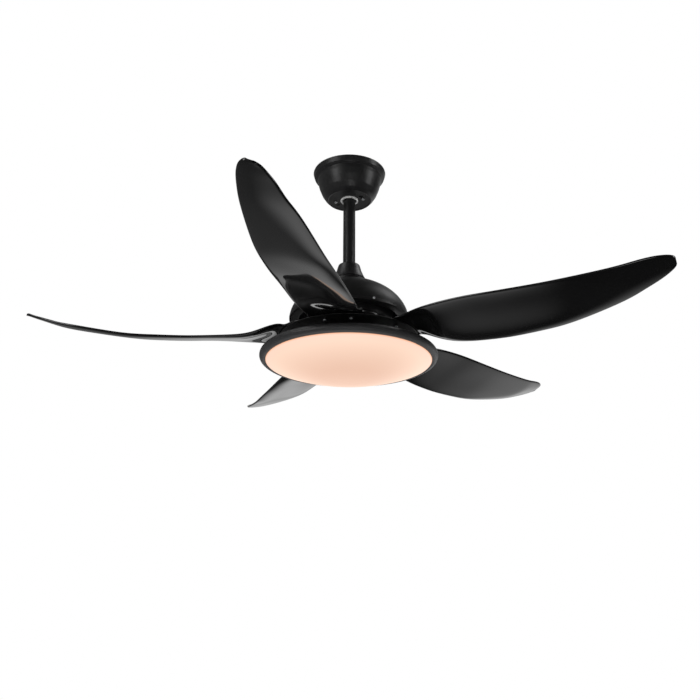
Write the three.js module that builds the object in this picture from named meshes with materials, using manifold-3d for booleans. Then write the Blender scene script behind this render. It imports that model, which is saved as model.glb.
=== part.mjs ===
// Five-blade ceiling fan with a round light, in millimetres.
// Frame: the origin is the centre of the ceiling contact face, +Z points up into the ceiling,
// and the fan hangs along -Z. The blades' sweep circle is 1320 mm across.
import * as THREE from "three";
import { mergeVertices } from "three/addons/utils/BufferGeometryUtils.js";
import Module from "manifold-3d";

// ---------------------------------------------------------------- driving dimensions
const GAP = 0.3; // clearance left between pieces that touch
const FINE = 36; // facets round the large outer pieces
const MEDIUM = 24; // facets round the pieces inside
const SMALL = 16; // facets round tubes and collars
const TINY = 8; // facets round screws
const BALL_Z = -42; // centre of the hanger ball, which the whole fan swings about
const BALL_R = 21;
const ROD_R = 13.35;
const ROD_BORE_R = 10.6;
const ROD_TOP = -25;
const ROD_BOTTOM = -257;
const CANOPY_R = 81;
const CANOPY_BOTTOM = -68.3;
const CANOPY_WALL = 1.6;
const CANOPY_HOLE_R = 20.1;
const BRACKET_TURN = THREE.MathUtils.degToRad(-12); // the bracket's arms in plan
const BRACKET_HALF_WIDTH = 19;
const STRAP = 2.5; // thickness of the bracket's steel strap
const ARM_X = 44; // outside of the bracket's arms
const SEAT_TOP = -52;
const CEILING_SCREW_X = 54;
const CANOPY_SCREW_R = 31;
const SCREW_HOLE_R = 2.3; // clearance hole for the 4 mm screws
const PIN_HOLE_R = 3.3; // clearance hole for the 6 mm cross pins
const COVER_TOP = -227.6;
const COVER_BOTTOM = -265.2;
const YOKE_PIN_Z = -243;
const YOKE_FOOT = -265.6;
const YOKE_R = 17.4;
const SET_SCREW_Z = -250;
const SHAFT_R = 10;
const SHAFT_BORE_R = 6.5;
const SHAFT_TOP = -259.5;
const SHAFT_BOTTOM = -425;
const DOME_RIM_Z = -357.9;
const DOME_R = 126.4;
const DOME_HEIGHT = 87.4;
const DOME_POWER = 1.93; // exponent of the dome's superellipse section
const DOME_WALL = 1.4;
const DOME_BOSS_TOP = -265.9; // flat boss that the yoke's foot sits on
const DOME_SCREW_Z = -353.5;
const DOME_SCREW_ANGLES = [293, 53, 173].map(THREE.MathUtils.degToRad);
const SLOTS = 9; // slots of the stator, with a coil side in each
const STATOR_R = 82.4;
const STATOR_LOW = -345;
const STATOR_HIGH = -331;
const COIL_REACH = 9; // how far the windings stand out of the core, above and below
const ROTOR_R = 93.4;
const ROTOR_FOOT_Z = -396.9;
const PLATE_R = 146.2; // disc that carries the blades
const PLATE_TOP = -397.3;
const PLATE_THICK = 2.5;
const BLADE_COUNT = 5;
const FIRST_BLADE_ANGLE = THREE.MathUtils.degToRad(41.9);
const BLADE_THICK = 5;
const BLADE_SCREW_CIRCLE = 125;
const BLADE_SCREW_ANGLES = [-10.3, 14.1].map(THREE.MathUtils.degToRad);
const LENS_RIM_Z = -448.6; // plane of the diffuser's edge
const LENS_R = 173.1;
const LENS_DEPTH = 34;
const LENS_WALL = 2.6;
const BEZEL_TUBE_R = 9.3; // radius of the bezel's rounded section
const BEZEL_CENTRE_R = 176.6;
const BEZEL_CENTRE_Z = -440.1;
const TRAY_TOP = -431.3;
const TRAY_R = 168.3;
const TRAY_THICK = 1.2;
const TRAY_RIM_LOW = -442;
const LIGHT_HUB_R = 62;
const HUB_SCREW_R = 54;
const HUB_SCREW_ANGLES = [90, 210, 330].map(THREE.MathUtils.degToRad);
const BOARD_TOP = TRAY_TOP - TRAY_THICK - GAP;
const BOARD_THICK = 1.6;
const CHIP_COUNT = 9;
const CHIP_CIRCLE = 104;

// Twist lock: three lugs inside the diffuser's skirt rest on three hooks of the tray.
const LUG_ANGLES = [30, 150, 270].map(THREE.MathUtils.degToRad);
const HOOK_LENGTH = 22;
const HOOK_WEB_R = 151.5;
const HOOK_FOOT_Z = -443.9;
const LUG_Z = -441.9;
const SKIRT_R = 161.5;

// One row per station along a blade: distance from the fan's axis, sideways shift of the middle,
// half chord, height of the middle above the diffuser's edge plane, half the rise across the
// chord (clockwise edge high), and the hollow of the underside's arch.
const BLADE_STATIONS = [
  { r: 90, shift: 22.5, half: 65.5, height: 54.3, twist: 0, sag: 0 },
  { r: 118, shift: 15, half: 64, height: 54.3, twist: 0, sag: 0 },
  { r: 136, shift: 2.5, half: 55.5, height: 54.4, twist: 0, sag: 0 },
  { r: 150, shift: 2.5, half: 57, height: 54.4, twist: 0.3, sag: 0.3 },
  { r: 175, shift: 2, half: 63, height: 51.3, twist: 6.5, sag: 3.2 },
  { r: 209, shift: -1.2, half: 64.8, height: 46, twist: 14.5, sag: 5.5 },
  { r: 250, shift: -1, half: 67, height: 43, twist: 19, sag: 4.4 },
  { r: 294, shift: -1, half: 68, height: 41, twist: 20.7, sag: 2.5 },
  { r: 378, shift: -2, half: 66.5, height: 38.5, twist: 20, sag: 2.6 },
  { r: 463, shift: -2.3, half: 60, height: 41.3, twist: 18, sag: 3.7 },
  { r: 547, shift: -1.8, half: 48.4, height: 51.9, twist: 13.9, sag: 4.5 },
  { r: 590, shift: -3.4, half: 39.2, height: 60.3, twist: 12, sag: 4 },
  { r: 618, shift: -3.2, half: 32.2, height: 67.4, twist: 10, sag: 3 },
  { r: 636, shift: -3, half: 25.8, height: 71.6, twist: 8, sag: 1.8 },
  { r: 648, shift: -2.6, half: 19.4, height: 74.5, twist: 6, sag: 1 },
  { r: 655.4, shift: -2.2, half: 13.8, height: 76.2, twist: 4.8, sag: 0.3 },
  { r: 659.4, shift: -2, half: 8.8, height: 77, twist: 4, sag: 0 },
];
const CHORD_STEPS = 4;

// ---------------------------------------------------------------- materials
const finish = (color, roughness, metalness = 0) =>
  new THREE.MeshStandardMaterial({ color, roughness, metalness });
const BLACK_SATIN = finish(0x111112, 0.42);
const BLACK_GLOSS = finish(0x0b0b0c, 0.18);
const ZINC = finish(0xb9bcc0, 0.35, 1);
const STEEL = finish(0x8f949a, 0.4, 1);
const ALUMINIUM = finish(0xa9adb2, 0.5, 1);
const IRON = finish(0x4b4d50, 0.6, 0.8);
const COPPER = finish(0xa8582c, 0.35, 1);
const MAGNET = finish(0x2a2a2c, 0.55, 0.3);
const NYLON = finish(0xc4c4c2, 0.5);
const WHITE_PLASTIC = finish(0xe6e6e2, 0.5);
const OPAL = finish(0xfbdcc6, 0.4);
const CIRCUIT_WHITE = finish(0xf2f2ee, 0.55);

// ---------------------------------------------------------------- solid helpers
const wasm = await Module();
wasm.setup();

const point = (x, y) => new THREE.Vector2(x, y);
const polar = (r, angle, z = 0) =>
  new THREE.Vector3(r * Math.cos(angle), r * Math.sin(angle), z);

function toSolid(geometry) {
  const bare = geometry.clone();
  bare.deleteAttribute("normal");
  bare.deleteAttribute("uv");
  const merged = mergeVertices(bare, 1e-3);
  const vertProperties = merged.attributes.position.array;
  const triVerts = new Uint32Array(merged.index.array);
  return new wasm.Manifold(new wasm.Mesh({ numProp: 3, vertProperties, triVerts }));
}

function toGeometry(solid) {
  const mesh = solid.getMesh();
  const geometry = new THREE.BufferGeometry();
  geometry.setAttribute("position", new THREE.BufferAttribute(mesh.vertProperties.slice(), 3));
  geometry.setIndex([...mesh.triVerts]);
  geometry.computeVertexNormals();
  return geometry;
}

const cut = (base, ...tools) =>
  toGeometry(tools.reduce((solid, tool) => solid.subtract(toSolid(tool)), toSolid(base)));

const join = (base, ...others) =>
  toGeometry(others.reduce((solid, other) => solid.add(toSolid(other)), toSolid(base)));

// A solid of revolution about Z from a profile of (radius, height) points, listed with the
// outside on the right as the profile is followed upwards.
function turned(profile, segments = MEDIUM) {
  const geometry = new THREE.LatheGeometry(profile.map(([r, z]) => point(r, z)), segments);
  return geometry.rotateX(Math.PI / 2);
}

// A ring or sleeve of rectangular section.
const sleeve = (inner, outer, low, high, segments = MEDIUM) =>
  turned([[inner, low], [outer, low], [outer, high], [inner, high], [inner, low]], segments);

// A solid disc or cylinder on the Z axis.
const disc = (radius, low, high, segments = MEDIUM) =>
  turned([[0, low], [radius, low], [radius, high], [0, high]], segments);

// A closed section from an outer line followed upwards and an inner line followed downwards.
const shell = (outer, inner, segments = MEDIUM) =>
  turned([...outer, ...inner, outer[0]], segments);

// Points of an arc in a (radius, height) section.
function arc(centreR, centreZ, radius, from, to, steps) {
  const points = [];
  for (let i = 0; i <= steps; i += 1) {
    const angle = THREE.MathUtils.degToRad(from + ((to - from) * i) / steps);
    points.push([centreR + radius * Math.cos(angle), centreZ + radius * Math.sin(angle)]);
  }
  return points;
}

const block = (dx, dy, dz, x, y, z) => new THREE.BoxGeometry(dx, dy, dz).translate(x, y, z);

// A round bar between two points.
function bar(from, to, radius, segments = 12) {
  const axis = to.clone().sub(from);
  const geometry = new THREE.CylinderGeometry(radius, radius, axis.length(), segments);
  const turn = new THREE.Quaternion().setFromUnitVectors(
    new THREE.Vector3(0, 1, 0),
    axis.clone().normalize(),
  );
  const middle = from.clone().add(to).multiplyScalar(0.5);
  return geometry.applyQuaternion(turn).translate(middle.x, middle.y, middle.z);
}

// A level bar through the axis along X, reaching equally far each way.
const crossBar = (reach, z, radius) =>
  bar(new THREE.Vector3(-reach, 0, z), new THREE.Vector3(reach, 0, z), radius);

// A pan-head screw that stands on the origin with its head below z = 0 and its shank above.
function panScrew(headR, headHeight, shankR, length) {
  const head = [[0, -headHeight], [headR * 0.75, -headHeight], [headR, 0]];
  return turned([...head, [shankR, 0], [shankR, length], [0, length]], TINY);
}

const fan = new THREE.Group();

function addPiece(name, geometry, material, position, parent = fan) {
  const mesh = new THREE.Mesh(geometry, material);
  mesh.name = name;
  if (position) mesh.position.copy(position);
  parent.add(mesh);
  return mesh;
}

// ---------------------------------------------------------------- ceiling fixing
const bracketGroup = new THREE.Group();
bracketGroup.rotation.z = BRACKET_TURN;
fan.add(bracketGroup);

// Two upright holes, either side of the axis along X.
const pairOfHoles = (radius, x, z) =>
  [-x, x].map((place) => disc(radius, z - 5, z + 5, TINY).translate(place, 0, 0));

// A ball round the hanger's centre.
const sphere = (radius) =>
  new THREE.SphereGeometry(radius, SMALL, 14).rotateX(Math.PI / 2).translate(0, 0, BALL_Z);

// A closed frame of bent strap: ceiling plate with two ears, two arms and the seat plate.
function bracketGeometry() {
  const width = 2 * BRACKET_HALF_WIDTH;
  const frameHeight = -SEAT_TOP + STRAP;
  const plate = block(2 * (CEILING_SCREW_X + 8), width, STRAP, 0, 0, -STRAP / 2);
  const armX = ARM_X - STRAP / 2;
  const arms = [-armX, armX].map((x) =>
    block(STRAP, width, frameHeight, x, 0, -frameHeight / 2),
  );
  const seat = block(2 * ARM_X, width, STRAP, 0, 0, SEAT_TOP - STRAP / 2);
  const frame = join(plate, ...arms, seat);
  const ballRoom = sphere(BALL_R + 3 * GAP);
  const rodSlotLength = BRACKET_HALF_WIDTH + 2;
  const rodSlot = block(30, rodSlotLength, 3 * STRAP, 0, rodSlotLength / 2, SEAT_TOP);
  const screwHoles = pairOfHoles(SCREW_HOLE_R, CEILING_SCREW_X, 0);
  const canopyHoles = pairOfHoles(SCREW_HOLE_R, CANOPY_SCREW_R, SEAT_TOP);
  const wireHoles = pairOfHoles(6, 28, 0);
  return cut(frame, ballRoom, rodSlot, ...wireHoles, ...screwHoles, ...canopyHoles);
}

function addBracket() {
  addPiece("ceiling_bracket", bracketGeometry(), ZINC, null, bracketGroup);
  [-1, 1].forEach((side, i) => {
    const screw = turned(
      [[0, -5.4], [2.6, -5.4], [4.3, -4], [4.6, -2.8], [2, -2.8], [2, 0], [0, 0]],
      TINY,
    );
    const place = new THREE.Vector3(side * CEILING_SCREW_X, 0, 0);
    addPiece(`bracket_screw_${i + 1}`, screw, STEEL, place, bracketGroup);
  });
}

// The remote-control receiver lies between the bracket's arms, above the ball.
function addReceiver() {
  const box = block(66, 30, 13, 0, 0, -10.5);
  addPiece("receiver_box", box, WHITE_PLASTIC, null, bracketGroup);
}

// Canopy: rolled flange, step, cup-shaped body and a flat bottom with a hole for the rod.
function canopyProfile() {
  return [
    [CANOPY_HOLE_R, CANOPY_BOTTOM],
    [48, CANOPY_BOTTOM],
    [56.5, -61],
    [62.6, -50],
    [69.4, -28],
    [72.2, -14],
    [78.2, -11.6],
    [CANOPY_R, -2.5],
    [CANOPY_R - 0.9, 0],
  ];
}

function canopyGeometry() {
  const outer = canopyProfile();
  const inner = [
    [CANOPY_R - 2.6, 0],
    [CANOPY_R - 2.8, -2.5],
    [76.6, -9.9],
    [70.6, -12.4],
    [67.7, -28],
    [61, -49.2],
    [55.3, -59.5],
    [47.4, CANOPY_BOTTOM + CANOPY_WALL],
    [CANOPY_HOLE_R, CANOPY_BOTTOM + CANOPY_WALL],
  ];
  const keyholes = [0, Math.PI].flatMap((start) => {
    const screwAngle = start + BRACKET_TURN;
    const holes = [];
    for (let step = 0; step <= 4; step += 1) {
      const angle = screwAngle - THREE.MathUtils.degToRad(6 * step);
      const radius = step === 4 ? 4.4 : 2.4;
      const place = polar(CANOPY_SCREW_R, angle, CANOPY_BOTTOM);
      holes.push(disc(radius, -4, 4, TINY).translate(place.x, place.y, place.z));
    }
    return holes;
  });
  return cut(shell(outer, inner, 30), ...keyholes);
}

function addCanopy() {
  addPiece("canopy", canopyGeometry(), BLACK_SATIN);
  [0, 1].forEach((i) => {
    const place = polar(CANOPY_SCREW_R, i * Math.PI, CANOPY_BOTTOM - GAP);
    addPiece(`canopy_screw_${i + 1}`, panScrew(3.3, 2.2, 2, 19), ZINC, place, bracketGroup);
  });
}

// A split nylon collar fills the canopy's hole round the rod.
function addSplitCollar() {
  const flangeZ = CANOPY_BOTTOM + CANOPY_WALL + GAP;
  const bore = 15.7;
  const ring = turned(
    [
      [bore, CANOPY_BOTTOM - 2.7],
      [CANOPY_HOLE_R - 1.2, CANOPY_BOTTOM - 2.7],
      [CANOPY_HOLE_R - 0.4, CANOPY_BOTTOM - 1.9],
      [CANOPY_HOLE_R - 0.4, flangeZ],
      [CANOPY_HOLE_R + 3.5, flangeZ],
      [CANOPY_HOLE_R + 3.5, flangeZ + 1.5],
      [bore, flangeZ + 1.5],
      [bore, CANOPY_BOTTOM - 2.7],
    ],
    SMALL,
  );
  const split = block(14, 1.6, 20, 20, 0, CANOPY_BOTTOM);
  split.rotateZ(THREE.MathUtils.degToRad(288));
  addPiece("split_collar", cut(ring, split), NYLON);
}

// ---------------------------------------------------------------- hanger ball and downrod
function addHangerBall() {
  const bore = disc(14.7, -80, 0, SMALL);
  const pinGroove = crossBar(BALL_R, BALL_Z, PIN_HOLE_R).rotateZ(Math.PI / 2);
  const crown = block(60, 60, 20, 0, 0, BALL_Z + 24);
  const ball = cut(sphere(BALL_R), bore, pinGroove, crown);
  addPiece("hanger_ball", ball, BLACK_SATIN, null, bracketGroup);
  const pin = crossBar(18.5, BALL_Z, 2.9).rotateZ(Math.PI / 2);
  addPiece("ball_cross_pin", pin, STEEL, null, bracketGroup);
}

function addDownrod() {
  const tube = sleeve(ROD_BORE_R, ROD_R, ROD_BOTTOM, ROD_TOP, SMALL);
  const ballPinHole = crossBar(20, BALL_Z, PIN_HOLE_R).rotateZ(Math.PI / 2 + BRACKET_TURN);
  const yokePinHole = crossBar(20, YOKE_PIN_Z, PIN_HOLE_R);
  addPiece("downrod", cut(tube, ballPinHole, yokePinHole), BLACK_SATIN);
}

// Bell-shaped cover over the joint between the downrod and the motor.
function addCouplingCover() {
  const outer = [
    [36.4, COVER_BOTTOM],
    [36.2, -262.4],
    [32.2, -255.5],
    [27.4, -244],
    [24.2, -233],
    [21.6, -228.8],
    [ROD_R + 0.5, COVER_TOP],
  ];
  const inner = [
    [ROD_R + 0.5, COVER_TOP - 1.9],
    [20.4, -230.8],
    [22.6, -234.4],
    [25.8, -244.8],
    [30.6, -256.4],
    [34.4, -263],
    [34.6, COVER_BOTTOM],
  ];
  addPiece("coupling_cover", shell(outer, inner, 24), BLACK_SATIN);
}

// Cast yoke: a neck that takes the rod, and a foot that sits on the dome.
function addYoke() {
  const shaftHole = SHAFT_R + 0.4;
  const rodSocket = ROD_R + GAP;
  const body = turned(
    [
      [shaftHole, YOKE_FOOT],
      [28.5, YOKE_FOOT],
      [29, -263],
      [26, -259.6],
      [18.2, -257.8],
      [YOKE_R, -254],
      [YOKE_R, -231],
      [rodSocket, -231],
      [rodSocket, ROD_BOTTOM - GAP],
      [shaftHole, ROD_BOTTOM - GAP],
      [shaftHole, YOKE_FOOT],
    ],
    SMALL,
  );
  const pinHole = crossBar(25, YOKE_PIN_Z, PIN_HOLE_R);
  const setScrewHole = outwardBar(12, 22, SET_SCREW_Z, 2.8);
  addPiece("motor_yoke", cut(body, pinHole, setScrewHole), IRON);
  addPiece("yoke_set_screw", outwardBar(rodSocket, 20.5, SET_SCREW_Z, 2.5), STEEL);
  addYokePin();
}

// A level bar that points towards -Y, from one radius to another.
const outwardBar = (from, to, z, radius) =>
  bar(new THREE.Vector3(0, -from, z), new THREE.Vector3(0, -to, z), radius);

function addYokePin() {
  const headX = -YOKE_R - 4.2;
  const shank = bar(
    new THREE.Vector3(headX + 1.8, 0, YOKE_PIN_Z),
    new THREE.Vector3(YOKE_R + 4.1, 0, YOKE_PIN_Z),
    3,
  );
  const head = bar(
    new THREE.Vector3(headX, 0, YOKE_PIN_Z),
    new THREE.Vector3(headX + 2, 0, YOKE_PIN_Z),
    4.4,
  );
  addPiece("yoke_pin", join(shank, head), STEEL);
  const clip = new THREE.TorusGeometry(4, 0.8, 6, TINY).rotateY(Math.PI / 2);
  addPiece("yoke_pin_clip", clip.translate(YOKE_R + 1.8, 0, YOKE_PIN_Z), ZINC);
}

// ---------------------------------------------------------------- motor housing and motor
// Height of the dome's outer surface at a given radius.
const domeTop = (r) =>
  DOME_RIM_Z + DOME_HEIGHT * (1 - (r / DOME_R) ** DOME_POWER) ** (1 / DOME_POWER);

// The dome's section, moved inwards by a wall thickness.
function domeSkin(wall) {
  const radii = [124, 114, 96, 70, 41];
  return radii.map((r) => [r - wall * (0.2 + (0.9 * r) / DOME_R), domeTop(r) - 0.8 * wall]);
}

const domeScrewBars = (from, to, radius) =>
  DOME_SCREW_ANGLES.map((angle) =>
    bar(polar(from, angle, DOME_SCREW_Z), polar(to, angle, DOME_SCREW_Z), radius, TINY),
  );

function addDome() {
  const shaftHole = SHAFT_R + 0.5;
  const boss = [[37.5, -273.5], [36.2, DOME_BOSS_TOP], [shaftHole, DOME_BOSS_TOP]];
  const outer = [[DOME_R, DOME_RIM_Z], ...domeSkin(0), ...boss];
  const inner = [
    [shaftHole, DOME_BOSS_TOP - DOME_WALL],
    [36.2 - DOME_WALL, DOME_BOSS_TOP - DOME_WALL],
    [37.5 - DOME_WALL, -273.5 - DOME_WALL],
    ...domeSkin(DOME_WALL).reverse(),
    [DOME_R - DOME_WALL, DOME_RIM_Z],
  ];
  const dome = cut(shell(outer, inner, FINE), ...domeScrewBars(110, 135, 1.7));
  addPiece("motor_dome", dome, BLACK_GLOSS);
}

// The fixed ring that closes the dome from below, with room for the turning rotor inside it.
function addDomeRing() {
  const ringZ = DOME_RIM_Z + 0.4;
  const ring = turned(
    [
      [106, ringZ],
      [122.6, ringZ],
      [122, -350],
      [119.8, -350],
      [120.4, ringZ + 2],
      [106, ringZ + 2],
      [106, ringZ],
    ],
    FINE,
  );
  addPiece("dome_lower_ring", cut(ring, ...domeScrewBars(110, 130, 1.7)), BLACK_SATIN);
  const heads = domeScrewBars(DOME_R + 0.2, DOME_R + 1.6, 2.6);
  const shanks = domeScrewBars(118, DOME_R + 0.6, 1.4);
  heads.forEach((head, i) => addPiece(`dome_screw_${i + 1}`, join(head, shanks[i]), ZINC));
}

function addShaft() {
  addPiece("motor_shaft", sleeve(SHAFT_BORE_R, SHAFT_R, SHAFT_BOTTOM, SHAFT_TOP, SMALL), STEEL);
  const bearingZ = [-314, -374];
  ["upper_bearing", "lower_bearing"].forEach((name, i) => {
    const low = bearingZ[i];
    addPiece(name, sleeve(SHAFT_R + 0.2, 20.6, low, low + 9, SMALL), STEEL);
  });
}

// The laminated core is an annulus with open slots between its teeth. The windings are a ring
// above and below it, joined by a coil side through each slot.
function addStator() {
  const middle = (STATOR_LOW + STATOR_HIGH) / 2;
  const height = STATOR_HIGH - STATOR_LOW;
  const core = sleeve(40, STATOR_R, STATOR_LOW, STATOR_HIGH, FINE);
  const slots = [];
  const coilSides = [];
  for (let i = 0; i < SLOTS; i += 1) {
    const angle = (i * 2 * Math.PI) / SLOTS;
    slots.push(block(26, 9, 2 * height, 64, 0, middle).rotateZ(angle));
    slots.push(block(14, 3, 2 * height, 80, 0, middle).rotateZ(angle));
    coilSides.push(block(22, 7.8, height + COIL_REACH, 63.5, 0, middle).rotateZ(angle));
  }
  addPiece("stator_core", cut(core, ...slots), IRON);
  const coils = join(
    sleeve(53, 74, STATOR_LOW - COIL_REACH, STATOR_LOW - GAP),
    sleeve(53, 74, STATOR_HIGH + GAP, STATOR_HIGH + COIL_REACH),
    ...coilSides,
  );
  addPiece("stator_windings", coils, COPPER);
  addStatorCarrier(middle);
}

// Spool on the shaft that holds the core by its bore.
function addStatorCarrier(middle) {
  const bore = SHAFT_R + GAP;
  const carrier = turned(
    [
      [bore, middle - 14],
      [22, middle - 14],
      [22, middle - 4],
      [40 - GAP, middle - 4],
      [40 - GAP, middle + 4],
      [22, middle + 4],
      [22, middle + 14],
      [bore, middle + 14],
      [bore, middle - 14],
    ],
    SMALL,
  );
  addPiece("stator_carrier", carrier, ALUMINIUM);
}

// The rotor turns outside the stator: a top bell, a ring of magnets and a base that carries
// the blade plate.
function addRotor() {
  const bell = turned(
    [
      [ROTOR_R - 2.6, -364.4],
      [ROTOR_R, -364.4],
      [ROTOR_R, -318],
      [80, -301.5],
      [20.9, -301.5],
      [20.9, -314],
      [24, -314],
      [24, -304.3],
      [79, -304.3],
      [ROTOR_R - 2.6, -319],
      [ROTOR_R - 2.6, -364.4],
    ],
    MEDIUM,
  );
  addPiece("rotor_bell", bell, BLACK_SATIN);
  const magnets = sleeve(STATOR_R + 0.8, ROTOR_R - 3.4, STATOR_LOW - 3, STATOR_HIGH + 3);
  addPiece("magnet_ring", magnets, MAGNET);
  const base = turned(
    [
      [70.5, ROTOR_FOOT_Z],
      [89, ROTOR_FOOT_Z],
      [89, -368.2],
      [ROTOR_R - 0.6, -368.2],
      [ROTOR_R, -367.4],
      [ROTOR_R, -364.8],
      [20.9, -364.8],
      [20.9, -374],
      [24.5, -374],
      [24.5, -367.4],
      [86.4, -367.4],
      [86.4, -393.2],
      [70.5, -394],
      [70.5, ROTOR_FOOT_Z],
    ],
    MEDIUM,
  );
  addPiece("rotor_base", base, BLACK_SATIN);
}

// ---------------------------------------------------------------- blades
// Points across the chord on a parabola through the high edge, the middle and the low edge.
function chordLine({ r, shift, half, height, twist, sag }) {
  const high = new THREE.Vector3(r, shift - half, height + twist);
  const middle = new THREE.Vector3(r, shift, height - sag);
  const low = new THREE.Vector3(r, shift + half, height - twist);
  const line = [];
  for (let i = 0; i <= CHORD_STEPS; i += 1) {
    const v = (2 * i) / CHORD_STEPS - 1;
    const place = new THREE.Vector3();
    place.addScaledVector(high, (v * (v - 1)) / 2);
    place.addScaledVector(middle, 1 - v * v);
    place.addScaledVector(low, (v * (v + 1)) / 2);
    line.push(place);
  }
  return line;
}

// The blade is lofted between closed loops: over the top from edge to edge and back underneath.
function bladeGeometry() {
  const lift = new THREE.Vector3(0, 0, BLADE_THICK / 2);
  const base = new THREE.Vector3(0, 0, LENS_RIM_Z);
  const loops = BLADE_STATIONS.map((station) => {
    const line = chordLine(station).map((p) => p.add(base));
    const top = line.map((p) => p.clone().add(lift));
    const bottom = line.map((p) => p.clone().sub(lift)).reverse();
    return [...top, ...bottom];
  });
  const count = loops[0].length;
  const positions = loops.flat().flatMap((p) => [p.x, p.y, p.z]);
  const index = [];
  for (let s = 0; s < loops.length - 1; s += 1) {
    for (let i = 0; i < count; i += 1) {
      const a = s * count + i;
      const b = s * count + ((i + 1) % count);
      index.push(a, a + count, b, b, a + count, b + count);
    }
  }
  const tip = (loops.length - 1) * count;
  for (let i = 0; i < CHORD_STEPS; i += 1) {
    const j = count - 1 - i;
    index.push(i, i + 1, j, i + 1, j - 1, j);
    index.push(tip + i, tip + j, tip + i + 1, tip + i + 1, tip + j, tip + j - 1);
  }
  const geometry = new THREE.BufferGeometry();
  geometry.setAttribute("position", new THREE.Float32BufferAttribute(positions, 3));
  geometry.setIndex(index);
  return geometry;
}

// Upright holes on a circle round the axis.
const holesOnCircle = (holeR, circleR, angles, low, high) =>
  angles.map((angle) => {
    const place = polar(circleR, angle);
    return disc(holeR, low, high, TINY).translate(place.x, place.y, 0);
  });

function addBlades() {
  const plateBottom = PLATE_TOP - PLATE_THICK;
  const span = [plateBottom - 5, PLATE_TOP + 15];
  const bored = holesOnCircle(SCREW_HOLE_R, BLADE_SCREW_CIRCLE, BLADE_SCREW_ANGLES, ...span);
  const blade = cut(bladeGeometry(), ...bored);
  const allAngles = [];
  for (let b = 0; b < BLADE_COUNT; b += 1) {
    const angle = FIRST_BLADE_ANGLE + (b * 2 * Math.PI) / BLADE_COUNT;
    const piece = addPiece(`blade_${b + 1}`, blade.clone(), BLACK_GLOSS);
    piece.rotation.z = angle;
    BLADE_SCREW_ANGLES.forEach((offset, i) => {
      allAngles.push(angle + offset);
      const place = polar(BLADE_SCREW_CIRCLE, angle + offset, plateBottom - GAP);
      addPiece(`blade_screw_${b + 1}_${i + 1}`, panScrew(3.6, 3, 2, 12.5), ZINC, place);
    });
  }
  addBladePlate(plateBottom, holesOnCircle(SCREW_HOLE_R, BLADE_SCREW_CIRCLE, allAngles, ...span));
}

function addBladePlate(bottom, holes) {
  const chamfer = 0.8;
  const bore = 70.5;
  const plate = turned(
    [
      [bore, bottom],
      [PLATE_R - chamfer, bottom],
      [PLATE_R, bottom + chamfer],
      [PLATE_R, PLATE_TOP - chamfer],
      [PLATE_R - chamfer, PLATE_TOP],
      [bore, PLATE_TOP],
      [bore, bottom],
    ],
    FINE,
  );
  addPiece("blade_plate", cut(plate, ...holes), BLACK_SATIN);
}

// ---------------------------------------------------------------- light
// Fixed drum on the end of the shaft that carries the light tray.
function addLightHub() {
  const floor = TRAY_TOP + GAP;
  const body = turned(
    [
      [46, floor],
      [LIGHT_HUB_R, floor],
      [LIGHT_HUB_R, -409],
      [58, -405.5],
      [SHAFT_R + GAP, -405.5],
      [SHAFT_R + GAP, -408.5],
      [57, -408.5],
      [59.6, -411],
      [59.6, floor + 2.2],
      [46, floor + 2.2],
      [46, floor],
    ],
    MEDIUM,
  );
  const holes = holesOnCircle(SCREW_HOLE_R, HUB_SCREW_R, HUB_SCREW_ANGLES, floor - 5, floor + 10);
  addPiece("light_hub", cut(body, ...holes), BLACK_SATIN);
  const nut = new THREE.CylinderGeometry(17, 17, 6, 6).rotateX(Math.PI / 2).translate(0, 0, -412);
  addPiece("shaft_nut", cut(nut, disc(SHAFT_R + GAP, -420, -400, SMALL)), ZINC);
  addPiece("led_driver", block(56, 24, 14, 0, 32, -420), WHITE_PLASTIC);
}

function addLightTray() {
  const under = TRAY_TOP - TRAY_THICK;
  const bore = 7;
  const tray = turned(
    [
      [bore, under],
      [TRAY_R - TRAY_THICK, under],
      [TRAY_R - TRAY_THICK, TRAY_RIM_LOW],
      [TRAY_R, TRAY_RIM_LOW],
      [TRAY_R, TRAY_TOP],
      [bore, TRAY_TOP],
      [bore, under],
    ],
    FINE,
  );
  const holes = holesOnCircle(SCREW_HOLE_R, HUB_SCREW_R, HUB_SCREW_ANGLES, under - 5, TRAY_TOP + 5);
  const webDrop = under + 0.2 - (HOOK_FOOT_Z - 0.6);
  const webMiddle = (under + 0.2 + HOOK_FOOT_Z - 0.6) / 2;
  const hooks = LUG_ANGLES.flatMap((angle) => [
    block(1.5, HOOK_LENGTH, webDrop, HOOK_WEB_R, 0, webMiddle).rotateZ(angle),
    block(6, HOOK_LENGTH, 1.5, HOOK_WEB_R + 2.9, 0, HOOK_FOOT_Z).rotateZ(angle),
  ]);
  addPiece("light_tray", join(cut(tray, ...holes), ...hooks), BLACK_SATIN);
  HUB_SCREW_ANGLES.forEach((angle, i) => {
    const place = polar(HUB_SCREW_R, angle, under - GAP);
    addPiece(`light_tray_screw_${i + 1}`, panScrew(3.8, 2.4, 2, 8), ZINC, place);
  });
}

function addLedBoard() {
  const low = BOARD_TOP - BOARD_THICK;
  const board = sleeve(20, 132, low, BOARD_TOP);
  const holes = holesOnCircle(4.6, HUB_SCREW_R, HUB_SCREW_ANGLES, low - 5, BOARD_TOP + 5);
  const chips = [];
  for (let i = 0; i < CHIP_COUNT; i += 1) {
    const angle = ((i + 0.5) * 2 * Math.PI) / CHIP_COUNT;
    chips.push(block(5, 5, 1.4, CHIP_CIRCLE, 0, low - 0.5).rotateZ(angle));
  }
  addPiece("led_board", join(cut(board, ...holes), ...chips), CIRCUIT_WHITE);
}

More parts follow.
